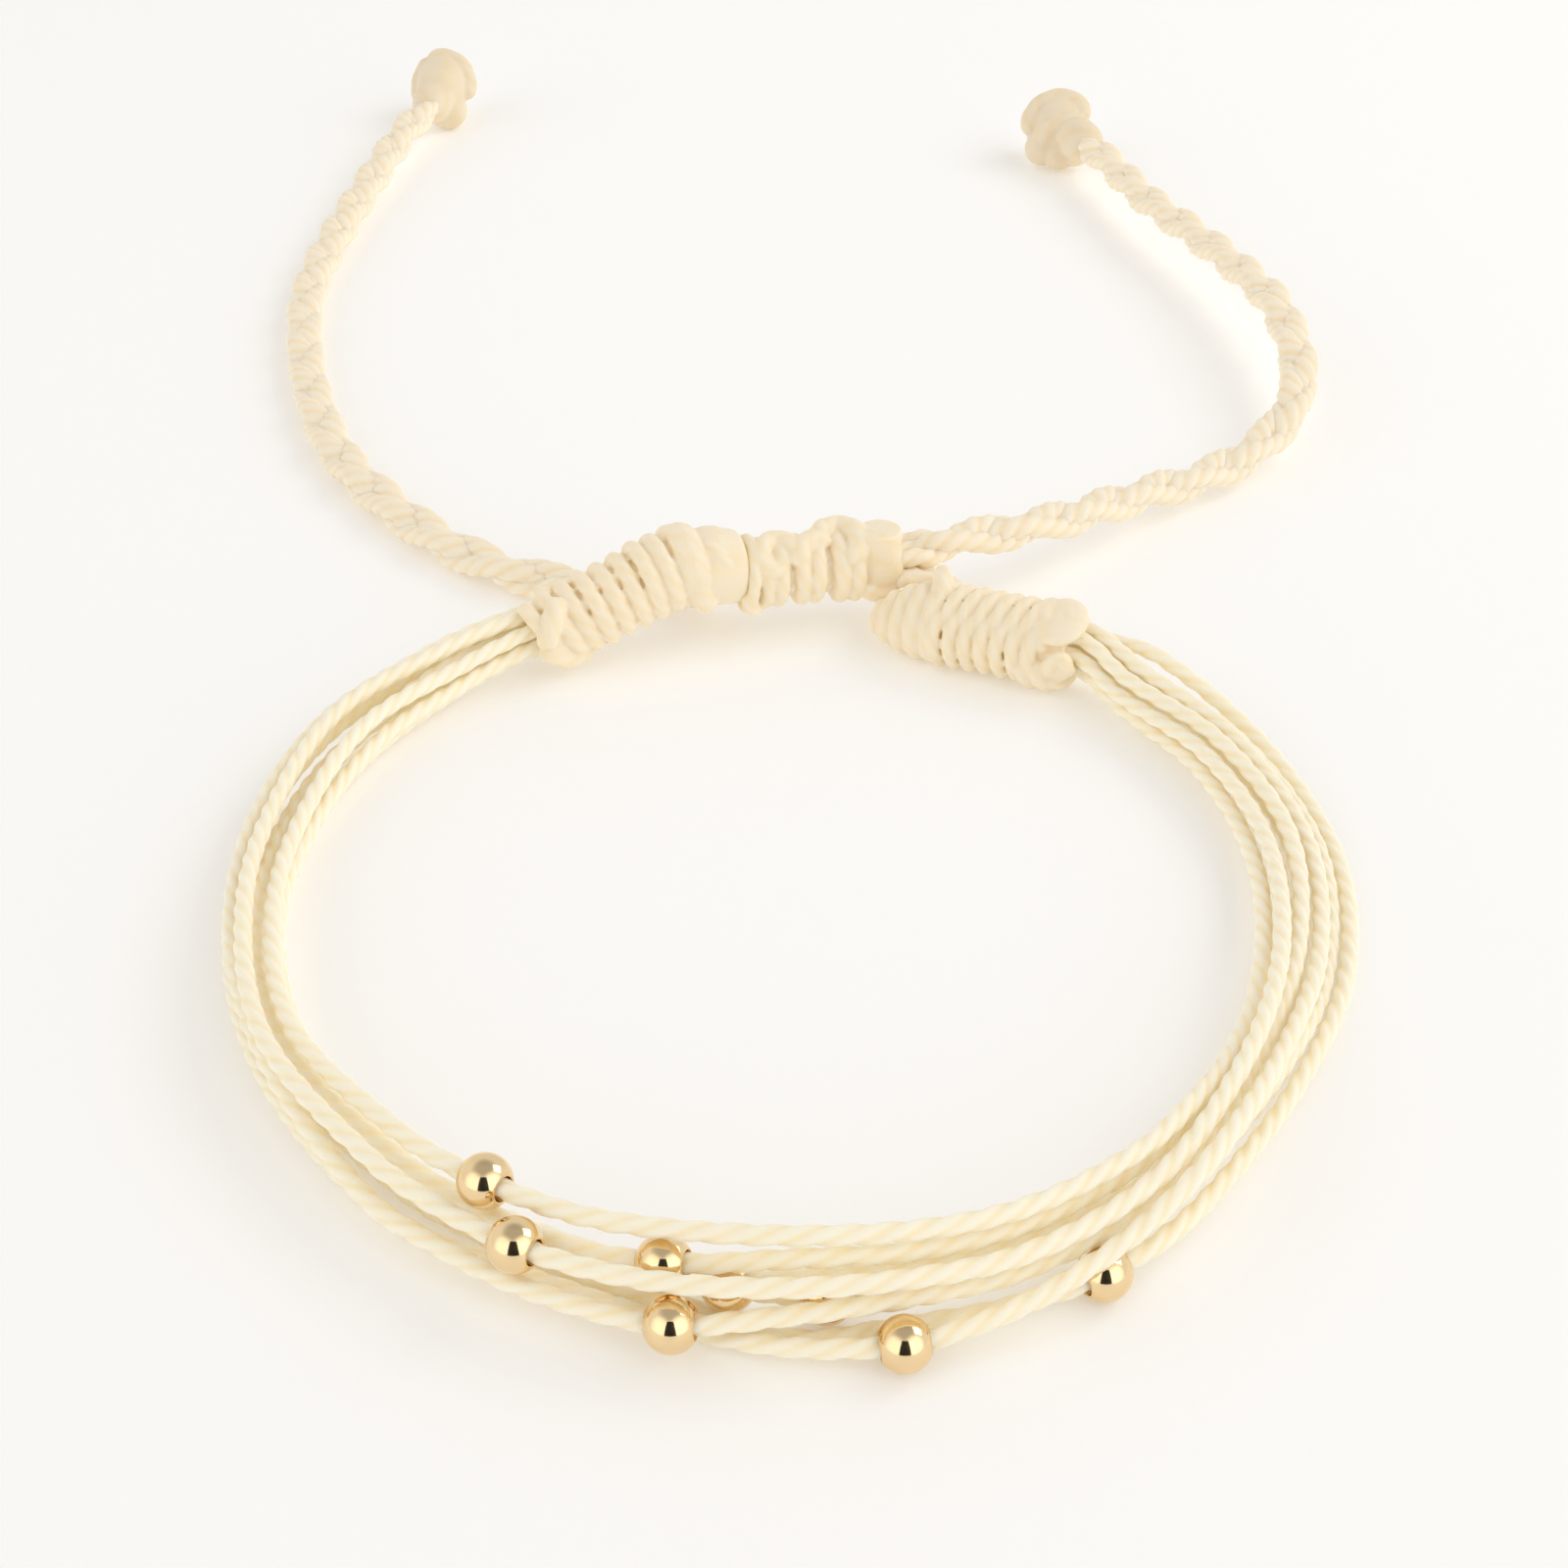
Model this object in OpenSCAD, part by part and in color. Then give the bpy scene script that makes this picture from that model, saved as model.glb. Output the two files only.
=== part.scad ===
/* [Cords] */
// Thickness of one loop strand
strand_d = 1.15; // [1.0:0.05:1.2]
// Thickness of one cord of the braided tails
tail_cord_d = 1.04; // [0.96:0.02:1.06]
// Thickness of the cord that is wound into the wraps
wrap_cord_d = 1.3; // [1.2:0.05:1.35]

/* [Beads] */
// Bead across the cord
bead_d = 3.0; // [2.8:0.1:3.0]
// Bead along the cord
bead_l = 2.7; // [2.4:0.1:2.8]
// Bore of a bead
bead_bore = 1.46; // [1.44:0.02:1.6]

/* [Wraps] */
// Turns of cord in the left wrap
left_turns = 10; // [9:1:11]
// Turns of cord in the right wrap
right_turns = 10; // [9:1:11]
// Width of the left wrap at its mouth
left_mouth_w = 5.8; // [5.6:0.1:6.0]
// Width of the left wrap at its far end
left_far_w = 6.4; // [6.0:0.1:6.6]
// Width of the right wrap at its mouth
right_mouth_w = 6.2; // [5.8:0.1:6.4]
// Width of the right wrap where its end starts to narrow
right_far_w = 5.4; // [5.2:0.1:5.8]
// Opening of a wrap where the strands go in
mouth_d = 4.3; // [4.2:0.05:4.4]

/* [Slider] */
// Length of the sliding knot
slider_l = 11.0; // [10:0.2:11]
// Outer width of the sliding knot
slider_d = 5.5; // [5.4:0.1:5.6]
// Opening that both tails run through
slider_bore = 4.1; // [4.05:0.05:4.2]
// Bars of cord across the sliding knot
slider_bars = 8; // [7:1:9]

/* [Tails] */
// Length of cord in which each tail cord crosses and comes back
braid_lay = 20; // [18:0.5:26]
// Sideways swing of a cord in the braid
braid_swing = 0.97; // [0.96:0.01:1.05]
// Up and down swing of a cord in the braid
braid_lift = 0.80; // [0.79:0.01:0.86]
// How far a cord tucks in beside the next one before they cross
braid_tuck = 0.13; // [0.08:0.01:0.14]
// Width of the knot that ends the left tail
left_knot_d = 7.6; // [7:0.1:8]
// Width of the knot that ends the right tail
right_knot_d = 8.0; // [7.4:0.1:8.4]

/* [Hidden] */

CREAM = "#f3e6c4";
GOLD = "#e2b368";
CORD_SIDES = 8;
RINGS_PER_LAY = 13;
ROUND = 48;

// The loop lies flat round the wrist opening. Sections cut across its band, from the left wrap
// at the back, round the front to the right wrap. Columns: x, y, steps on to the next section.
SECTIONS = [
    [-16.6, 34.5, 1], [-18.9, 33.8, 2],
    [-23.4, 29.8, 3], [-29.5, 21.8, 3], [-32.6, 11.0, 3],
    [-32.4, -0.5, 3], [-28.4, -12.0, 3], [-20.6, -21.8, 2],
    [-15.8, -25.4, 2], [-10.5, -28.2, 2], [-5.1, -29.9, 2], [0.5, -30.6, 2],
    [6.1, -30.1, 2], [11.5, -28.6, 2], [16.8, -25.8, 2], [21.5, -22.0, 3],
    [29.0, -12.6, 3], [32.8, -1.5, 3], [32.8, 9.6, 3],
    [29.6, 19.6, 2], [24.6, 27.6, 2],
    [21.7, 31.0, 1], [19.4, 32.0, 0]];
LAST = len(SECTIONS) - 1;

// The strands run in and out of each wrap in a round bundle: one in the middle and seven about it.
BUNDLE_R = 1.46;
BUNDLE_STEP = 360 / 7;
LEFT_BUNDLE_Z = [3.3, 2.9];
RIGHT_BUNDLE_Z = [3.2, 3.2];
MIDDLE = -1;
LEFT_FIRST = 97;
RIGHT_FIRST = 225;
// Place of strands 1 to 8 in the bundle, counted round from the first
LEFT_PLACE = [1, MIDDLE, 2, 0, 6, 3, 5, 4];
RIGHT_PLACE = [0, 6, 5, 1, 2, MIDDLE, 3, 4];

// Place of each strand in the band, one column for each section between the wraps:
// how far out from the middle of the band, then its height over the table.
OUT = [
    [-1.5, -1.8, -2.0, -1.8, -0.9, -0.6, -0.2, 0.1, 0.2, 0.3, 0.3, 0.1, -0.5, -1.2, -3.3, -3.9, -3.2, -2.0, -1.3],
    [0.0, -0.9, -1.0, -0.6, -0.4, -0.4, -0.2, 0.1, 0.4, 0.5, 0.3, 0.0, -0.8, -1.5, -3.2, -2.8, -1.6, -0.6, 0.0],
    [-1.6, -2.4, -2.2, -1.8, -1.5, -1.2, -1.2, -1.3, -0.6, 0.1, 0.1, -0.2, -0.7, -1.3, -1.9, -1.6, -0.2, 0.8, 1.3],
    [-0.1, 0.3, -0.1, -0.1, 0.8, 1.4, 1.8, 2.3, 2.4, 2.1, 1.9, 1.6, 1.1, 0.2, -2.2, -2.9, -2.4, -1.9, -1.8],
    [1.3, 1.4, 1.1, 0.8, 0.9, 2.0, 2.4, 2.8, 2.9, 2.0, 1.4, 1.2, 0.9, 0.4, -1.9, -1.8, -0.8, -0.8, -1.2],
    [-0.6, -1.6, -1.3, -1.5, -1.5, -2.0, -2.3, -2.4, -2.4, -0.8, -0.5, -0.5, -1.0, -0.4, -0.7, 0.1, 1.4, 1.5, 0.9],
    [1.7, 1.5, 1.3, 1.0, 1.0, 1.3, 0.9, 0.6, 1.2, 2.5, 3.1, 2.8, 2.3, 1.6, -0.7, -0.5, 0.5, 0.5, 0.0],
    [0.8, 0.3, 0.0, -0.2, -0.2, -0.6, -0.7, -0.7, -0.2, 1.4, 1.1, 1.5, 2.0, 1.4, 0.4, 1.3, 2.6, 2.8, 1.9]];
HIGH = [
    [3.4, 3.6, 3.2, 3.7, 4.2, 5.0, 5.4, 5.8, 6.4, 6.8, 6.6, 6.3, 5.9, 5.5, 3.4, 2.6, 1.9, 1.5, 1.2],
    [2.8, 2.3, 2.3, 2.5, 2.9, 3.3, 3.2, 3.4, 4.3, 5.4, 5.2, 5.0, 4.5, 4.1, 2.0, 1.7, 1.4, 1.3, 1.9],
    [2.0, 2.2, 1.8, 2.0, 2.2, 2.0, 1.9, 1.8, 2.0, 3.7, 3.9, 3.7, 3.1, 2.6, 1.3, 0.9, 1.1, 1.3, 1.4],
    [4.3, 4.1, 3.7, 4.1, 4.2, 4.4, 4.3, 4.6, 4.9, 5.0, 4.9, 4.7, 4.9, 5.2, 4.6, 3.6, 3.0, 2.9, 2.5],
    [3.6, 3.2, 2.9, 2.6, 2.7, 2.1, 2.2, 2.4, 2.5, 3.0, 3.1, 3.1, 3.5, 3.8, 2.9, 2.7, 3.1, 3.6, 3.6],
    [1.0, 1.0, 0.8, 0.8, 0.8, 0.7, 0.7, 0.7, 0.7, 1.5, 1.7, 1.1, 1.0, 1.3, 2.0, 0.8, 1.4, 2.4, 2.9],
    [2.2, 1.8, 1.5, 1.3, 1.3, 0.7, 0.7, 0.7, 0.7, 1.3, 1.7, 2.6, 3.92, 5.1, 3.6, 2.2, 2.3, 3.4, 4.0],
    [1.1, 1.1, 1.0, 0.8, 0.9, 0.7, 0.7, 0.7, 0.7, 0.7, 0.8, 1.1, 1.65, 1.6, 1.4, 0.7, 0.9, 2.3, 4.2]];

// Where each bead sits on its own strand, as a section and the share of the way to the next
BEAD_AT = [8.08, 9.86, 10.42, 8.62, 10.03, 11.32, 11.91, 13.76];

// Wraps: the mouth where the strands go in, the far end, and the length and width of that end
LEFT_MOUTH = [-17.8, 34.1, 3.1];
LEFT_FAR = [-4.0, 38.9, 5.2];
LEFT_TIP = [2.4, 4.2];
RIGHT_MOUTH = [20.6, 31.5, 3.3];
RIGHT_FAR = [6.8, 38.0, 2.5];
RIGHT_TIP = [4.4, 2.4];
MOUTH_DEPTH = 2.6;
TAIL_HOLE_D = 3.9;
TAIL_WAY_D = 3.8;

// Sliding knot: the middle of its left face, the way its length runs, and how far each tail
// lies over or under its middle line
SLIDER_AT = [-2.7, 39.2, 4.9];
SLIDER_DIR = unit([11.0, 2.6, -0.3]);
TAIL_APART = 0.62;
FLARE = 1.2;
SLIDER_FAR = SLIDER_AT + slider_l * SLIDER_DIR;
OVER = [0, 0, TAIL_APART];

// Routes of the tails, from inside a wrap, through the sliding knot and out to the end knot
RIGHT_TAIL = [
    [-6.8, 37.9, 4.8], [-4.6, 38.7, 5.2], SLIDER_AT + OVER, SLIDER_AT + 0.5 * slider_l * SLIDER_DIR + OVER,
    SLIDER_FAR + OVER, [13.2, 43.8, 5.2],
    [20.0, 47.9, 4.4], [28.0, 55.6, 2.7], [35.0, 61.4, 1.9], [39.5, 65.8, 2.4], [42.3, 70.0, 3.7],
    [43.6, 75.6, 4.8], [43.4, 86.0, 5.4], [41.9, 94.4, 5.0], [38.9, 104.9, 4.5], [35.5, 115.0, 4.1],
    [32.7, 126.4, 3.9], [29.9, 133.9, 4.0]];
LEFT_TAIL = [
    [13.0, 36.4, 3.4], [11.4, 38.3, 3.8], [9.9, 40.4, 3.9], SLIDER_FAR - OVER,
    SLIDER_AT + 0.5 * slider_l * SLIDER_DIR - OVER, SLIDER_AT - OVER,
    [-5.4, 42.1, 2.1], [-9.0, 43.5, 1.5], [-16.5, 44.0, 1.42], [-21.0, 46.0, 1.42],
    [-26.0, 50.2, 1.42], [-31.0, 56.4, 1.42], [-36.0, 64.6, 1.42], [-39.4, 73.8, 1.42],
    [-42.2, 85.2, 1.42], [-43.9, 98.0, 1.5], [-43.5, 110.0, 1.65], [-42.0, 123.6, 2.0],
    [-40.0, 136.0, 2.8], [-37.0, 147.5, 3.6]];
// Where the sliding knot comes along each route, counted in its points
RIGHT_TAIL_IN = 2;
LEFT_TAIL_IN = 3;
TAIL_STEPS = 16;
// How far ahead and behind a cord looks for its direction
LOOK = 0.6;
// Distance between the tail cords side by side in the sliding knot, how far they stay so past
// its ends, and how soon the braid opens after that
ROW_STEP = 1.16;
FLAT_PAST = 1.6;
FLAT_BLEND = 2.4;

function unit(v) = v / norm(v);
function sum_to(list, i) = i < 0 ? 0 : list[i] + sum_to(list, i - 1);

// Level frame of a direction: sideways, then the up that is square to it
function sideways(dir) = unit(cross(dir, [0, 0, 1]));
function upward(dir) = unit(cross(sideways(dir), dir));

// A smooth curve through points, with s the distance along at each point
function slope(pts, s, i) =
    let (a = max(i - 1, 0), b = min(i + 1, len(pts) - 1))
    (pts[b] - pts[a]) / (s[b] - s[a]);
function curve_point(pts, s, i, t) =
    i >= len(pts) - 1 ? pts[len(pts) - 1] :
    let (h = s[i + 1] - s[i], u = t * t, w = u * t)
    (2 * w - 3 * u + 1) * pts[i] + (w - 2 * u + t) * h * slope(pts, s, i)
    + (3 * u - 2 * w) * pts[i + 1] + (w - u) * h * slope(pts, s, i + 1);

// Middle of the band at a section, its direction and the way out from the wrist
function middle(i) = [SECTIONS[i][0], SECTIONS[i][1], 0];
function band_dir(i) = unit(middle(min(i + 1, LAST)) - middle(max(i - 1, 0)));
function outward(i) = [band_dir(i)[1], -band_dir(i)[0], 0];
SECTION_GAPS = [for (i = [1:LAST]) norm(middle(i) - middle(i - 1))];
SECTION_S = [for (i = [0:LAST]) sum_to(SECTION_GAPS, i - 1)];

function in_bundle(place, first, turn) =
    place == MIDDLE ? [0, 0] :
    BUNDLE_R * [cos(first + turn * place * BUNDLE_STEP), sin(first + turn * place * BUNDLE_STEP)];
// Out and height of strand k at section i
function strand_place(k, i) =
    i < 2 ? in_bundle(LEFT_PLACE[k], LEFT_FIRST, 1) + [0, LEFT_BUNDLE_Z[i]] :
    i > LAST - 2 ? in_bundle(RIGHT_PLACE[k], RIGHT_FIRST, -1) + [0, RIGHT_BUNDLE_Z[i - LAST + 1]] :
    [OUT[k][i - 2], HIGH[k][i - 2]];
function strand_node(k, i) =
    let (p = strand_place(k, i))
    middle(i) + p[0] * outward(i) + [0, 0, p[1]];
function strand_knots(k) = [for (i = [0:LAST]) strand_node(k, i)];
function strand_route(k) =
    let (pts = strand_knots(k))
    concat([for (i = [0:LAST - 1], j = [0:SECTIONS[i][2] - 1])
            curve_point(pts, SECTION_S, i, j / SECTIONS[i][2])],
           [pts[LAST]]);
function strand_point(k, at) =
    curve_point(strand_knots(k), SECTION_S, floor(at), at - floor(at));

// Evenly spaced points along a tail's middle line
function gaps(pts) = [for (i = [1:len(pts) - 1]) norm(pts[i] - pts[i - 1])];
function running(list) =
    [for (i = 0, total = 0; i <= len(list); total = total + (i < len(list) ? list[i] : 0), i = i + 1) total];
function fine_curve(pts) =
    let (s = running(gaps(pts)))
    concat([for (i = [0:len(pts) - 2], j = [0:TAIL_STEPS - 1]) curve_point(pts, s, i, j / TAIL_STEPS)],
           [pts[len(pts) - 1]]);
function find(s, d, i = 0) = i >= len(s) - 2 || s[i + 1] >= d ? i : find(s, d, i + 1);
function along(pts, s, d) =
    let (i = find(s, d), t = (d - s[i]) / (s[i + 1] - s[i]))
    pts[i] + min(max(t, 0), 1) * (pts[i + 1] - pts[i]);

// One cord of a three-cord flat braid that follows the middle line. In the sliding knot the
// three cords lie straight, side by side, and the braid goes on beyond it.
function braid_route(pts, first_in, k) =
    let (fine = fine_curve(pts), s = running(gaps(fine)), total = s[len(s) - 1],
         in = s[first_in * TAIL_STEPS] - FLAT_PAST, out = s[(first_in + 2) * TAIL_STEPS] + FLAT_PAST,
         step = braid_lay / RINGS_PER_LAY, count = floor(total / step))
    [for (i = [0:count])
        let (d = i * step, p = along(fine, s, d),
             dir = unit(along(fine, s, min(d + LOOK, total)) - along(fine, s, max(d - LOOK, 0))),
             past = d < in ? d - in : d > out ? d - out : 0,
             phase = 360 * past / braid_lay + 120 * k,
             flat = max(0, 1 - abs(past) / FLAT_BLEND),
             lift = min(1, 2 * abs(past) / FLAT_BLEND),
             row = [0, ROW_STEP, -ROW_STEP][k],
             x = (1 - flat) * braid_swing * sin(phase) + flat * row,
             z = lift * (braid_lift * sin(2 * phase) - braid_tuck * sin(4 * phase)))
        p + x * sideways(dir) + z * upward(dir)];

module tube(route, d, sides) {
    n = len(route);
    r = d / 2;
    dirs = [for (i = [0:n - 1]) unit(route[min(i + 1, n - 1)] - route[max(i - 1, 0)])];
    rings = [for (i = [0:n - 1], j = [0:sides - 1])
        let (a = 360 * (j + 0.5) / sides)
        route[i] + r * cos(a) * sideways(dirs[i]) + r * sin(a) * upward(dirs[i])];
    walls = [for (i = [0:n - 2], j = [0:sides - 1])
        let (k = (j + 1) % sides)
        [i * sides + j, i * sides + k, (i + 1) * sides + k, (i + 1) * sides + j]];
    start = [for (j = [sides - 1:-1:0]) j];
    finish = [for (j = [0:sides - 1]) (n - 1) * sides + j];
    polyhedron(rings, concat([start], walls, [finish]), convexity = 10);
}

module point_along(at, dir) {
    flat = norm([dir[0], dir[1]]);
    translate(at) rotate([0, atan2(flat, dir[2]), atan2(dir[1], dir[0])]) children();
}

module strand(k) {
    color(CREAM) tube(strand_route(k), strand_d, CORD_SIDES);
}

module bead(k) {
    reach = 0.2;
    near = strand_point(k, BEAD_AT[k] - reach);
    far = strand_point(k, BEAD_AT[k] + reach);
    color(GOLD) point_along(strand_point(k, BEAD_AT[k]), far - near) difference() {
        intersection() {
            sphere(d = bead_d, $fn = ROUND);
            cylinder(h = bead_l, d = 2 * bead_d, center = true, $fn = ROUND);
        }
        cylinder(h = 2 * bead_d, d = bead_bore, center = true, $fn = ROUND);
    }
}

// Turns of cord side by side round the bundle, narrowed to a round tip at the far end,
// open at the mouth and holed for the tail
module wrap(mouth, far, mouth_w, far_w, tip, turns, tail) {
    l = norm(far - mouth);
    body_l = l - tip[0];
    pitch = (body_l + wrap_cord_d / 2) / turns;
    cord_r = wrap_cord_d / 2;
    core_in = 0.7 * cord_r;
    core_l = l - 0.4 * tip[1];
    tail_dir = tail[1] - tail[0];
    color(CREAM) difference() {
        point_along(mouth, far - mouth) {
            rotate_extrude($fn = ROUND) {
                polygon([[0, 0], [mouth_w / 2 - core_in, 0], [far_w / 2 - core_in, body_l],
                         [tip[1] / 2, core_l], [0, core_l]]);
                for (i = [0:turns - 1])
                    let (at = (i + 0.5) * pitch, w = mouth_w + (far_w - mouth_w) * at / body_l)
                    translate([w / 2 - cord_r, at]) circle(r = cord_r, $fn = ROUND);
            }
            translate([0, 0, l - tip[1] / 2]) sphere(d = tip[1], $fn = ROUND);
        }
        point_along(mouth - unit(far - mouth), far - mouth)
            cylinder(h = MOUTH_DEPTH + 1, d = mouth_d, $fn = ROUND);
        point_along(tail[0] - 0.5 * unit(tail_dir), tail_dir)
            cylinder(h = 2 * far_w, d = TAIL_HOLE_D, $fn = ROUND);
    }
}

// The way that the left tail takes out of the sliding knot and past the end of the left wrap
module left_tail_way() {
    from = LEFT_TAIL[LEFT_TAIL_IN + 2];
    to = LEFT_TAIL[LEFT_TAIL_IN + 3];
    start = 0.3;
    point_along(from, to - from) translate([0, 0, -start])
        cylinder(h = norm(to - from), d = TAIL_WAY_D, $fn = ROUND);
}

module left_wrap() {
    difference() {
        wrap(LEFT_MOUTH, LEFT_FAR, left_mouth_w, left_far_w, LEFT_TIP, left_turns, RIGHT_TAIL);
        left_tail_way();
    }
}

module right_wrap() {
    wrap(RIGHT_MOUTH, RIGHT_FAR, right_mouth_w, right_far_w, RIGHT_TIP, right_turns, LEFT_TAIL);
}

// Square knots in a row round both tails: bars across, with loops over them and a full end
module slider() {
    bar = 1.25;
    end_w = 2.6;
    end_r = slider_d / 2 - 0.9;
    core_d = slider_d - 0.7;
    flare_d = slider_d - 0.9;
    lump = 2.2;
    lump_r = slider_d / 2 - 0.3;
    lump_shift = 0.2;
    past = 1;
    pitch = (slider_l - end_w) / slider_bars;
    color(CREAM) difference() {
        point_along(SLIDER_AT, SLIDER_DIR) difference() {
            union() {
                cylinder(h = slider_l - end_w / 2, d = core_d, $fn = ROUND);
                for (i = [0:slider_bars - 1])
                    translate([0, 0, (i + 0.5) * pitch]) rotate_extrude($fn = ROUND)
                        translate([slider_d / 2 - bar / 2, 0]) circle(d = bar, $fn = ROUND);
                translate([0, 0, slider_l - end_w / 2]) rotate_extrude($fn = ROUND)
                    translate([end_r, 0]) circle(d = end_w, $fn = ROUND);
                for (i = [1:2:slider_bars - 1])
                    translate([-lump_r, 0, (i + lump_shift) * pitch]) sphere(d = lump, $fn = ROUND);
            }
            translate([0, 0, -past]) cylinder(h = slider_l + 2 * past, d = slider_bore, $fn = ROUND);
            translate([0, 0, -0.1 * past]) cylinder(h = FLARE, d1 = flare_d, d2 = slider_bore, $fn = ROUND);
            translate([0, 0, slider_l + 0.1 * past - FLARE])
                cylinder(h = FLARE, d1 = slider_bore, d2 = flare_d, $fn = ROUND);
        }
        left_tail_way();
    }
}

module right_tail_cord(k) {
    color(CREAM) tube(braid_route(RIGHT_TAIL, RIGHT_TAIL_IN, k), tail_cord_d, CORD_SIDES);
}

module left_tail_cord(k) {
    color(CREAM) tube(braid_route(LEFT_TAIL, LEFT_TAIL_IN, k), tail_cord_d, CORD_SIDES);
}

// A braid tied in a plain knot: turns that cross about a full middle, with a hole for the tail
module end_knot(route, d) {
    last = route[len(route) - 1];
    before = route[len(route) - 2];
    dir = unit([last[0] - before[0], last[1] - before[1], 0]);
    turn = 0.36 * d;
    middle_d = 0.86 * d;
    tilt_by = 32;
    hole = 1.8;
    color(CREAM) point_along([last[0], last[1], d / 2] + (d / 2 - hole) * dir, dir) difference() {
        union() {
            sphere(d = middle_d, $fn = ROUND);
            for (tilt = [-tilt_by, tilt_by])
                rotate([tilt, 0, 0]) rotate_extrude($fn = ROUND)
                    translate([d / 2 - turn / 2, 0]) circle(d = turn, $fn = ROUND);
        }
        translate([0, 0, -d]) cylinder(h = d / 2 + hole + 0.5, d = TAIL_HOLE_D, $fn = ROUND);
    }
}

module left_end_knot() {
    end_knot(LEFT_TAIL, left_knot_d);
}

module right_end_knot() {
    end_knot(RIGHT_TAIL, right_knot_d);
}

strand(0);  // strand_1
strand(1);  // strand_2
strand(2);  // strand_3
strand(3);  // strand_4
strand(4);  // strand_5
strand(5);  // strand_6
strand(6);  // strand_7
strand(7);  // strand_8
bead(0);  // bead_1
bead(1);  // bead_2
bead(2);  // bead_3
bead(3);  // bead_4
bead(4);  // bead_5
bead(5);  // bead_6
bead(6);  // bead_7
bead(7);  // bead_8
left_wrap();
right_wrap();
slider();
right_tail_cord(0);  // right_tail_cord_1
right_tail_cord(1);  // right_tail_cord_2
right_tail_cord(2);  // right_tail_cord_3
left_tail_cord(0);  // left_tail_cord_1
left_tail_cord(1);  // left_tail_cord_2
left_tail_cord(2);  // left_tail_cord_3
left_end_knot();
right_end_knot();
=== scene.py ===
"""Braided cord bracelet: eight waxed strands with a gold bead each, two wound wraps, a sliding
knot and two braided tails. Lengths are in millimetres and become metres where a mesh is made."""

import math

import bmesh
import bpy
import numpy as np
from mathutils import Matrix, Vector
from mathutils.kdtree import KDTree


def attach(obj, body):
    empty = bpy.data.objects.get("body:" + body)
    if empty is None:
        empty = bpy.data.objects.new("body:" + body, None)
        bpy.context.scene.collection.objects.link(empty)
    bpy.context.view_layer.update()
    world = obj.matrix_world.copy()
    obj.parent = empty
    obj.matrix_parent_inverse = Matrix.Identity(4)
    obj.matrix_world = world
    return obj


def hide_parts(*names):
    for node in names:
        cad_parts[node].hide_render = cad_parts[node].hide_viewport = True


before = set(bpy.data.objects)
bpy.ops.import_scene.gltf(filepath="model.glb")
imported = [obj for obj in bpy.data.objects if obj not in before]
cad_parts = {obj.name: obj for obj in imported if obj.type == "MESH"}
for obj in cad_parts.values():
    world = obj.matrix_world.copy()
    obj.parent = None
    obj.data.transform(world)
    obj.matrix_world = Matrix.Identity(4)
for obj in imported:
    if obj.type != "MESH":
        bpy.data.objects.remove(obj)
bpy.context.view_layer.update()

MM = 0.001

# Sizes

# Cords: radius, how far a ply runs to go round once (the lay), how deep the grooves between plies
# are as a share of the radius, and how far the plies are turned on from those of the cord before
PLIES = 3
STRAND_R, STRAND_LAY, STRAND_GROOVE, STRAND_TURN = 0.575, 5.7, 0.40, 0.37
TAIL_R, TAIL_LAY, TAIL_GROOVE, TAIL_TURN = 0.83, 4.6, 0.36, 0.31
WRAP_LAY, FIBRE_RELIEF = 4.5, 0.05

# Braids: how many cords, the lay, how far a cord swings to each side and rises, how much wider it
# is pressed where it crosses the middle, and its radius in the grip of the sliding knot
BRAID_CORDS, BRAID_LAY, BRAID_SWING, BRAID_LIFT = 3, 20, 0.82, 0.46
PRESSED_WIDE, GRIPPED_R = 0.54, 0.70

# In the sliding knot the cords lie in a row: the step from cord to cord, how far the row runs on
# past the knot, and over what length it turns into the braid
ROW_STEP, ROW_PAST, ROW_BLEND = 1.16, 1.6, 2.4

# Fineness of the swept cords: places round them, and steps along them
STRAND_SIDES, STRAND_STEP = 18, 0.24
TAIL_SIDES, TAIL_STEP = 24, 0.26
SHORT_SIDES, SHORT_STEP = 16, 0.2
END_KNOT_STEP = 0.15

# Beads: radii of the ball and its bore, how wide the rounded lip of the bore is, places from lip
# to lip, and places round
BEAD_R, BEAD_BORE_R, BEAD_LIP = 1.5, 0.7, 0.08
BEAD_RINGS, BEAD_SIDES = 26, 56

# Middle of the band of strands, from the left wrap round the front to the right wrap: x, y
SECTIONS = np.array([
    [-16.6, 34.5], [-18.9, 33.8], [-23.4, 29.8], [-29.5, 21.8], [-32.6, 11.0], [-32.4, -0.5],
    [-28.4, -12.0], [-20.6, -21.8], [-15.8, -25.4], [-10.5, -28.2], [-5.1, -29.9], [0.5, -30.6],
    [6.1, -30.1], [11.5, -28.6], [16.8, -25.8], [21.5, -22.0], [29.0, -12.6], [32.8, -1.5],
    [32.8, 9.6], [29.6, 19.6], [24.6, 27.6], [21.7, 31.0], [19.4, 32.0]])

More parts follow.
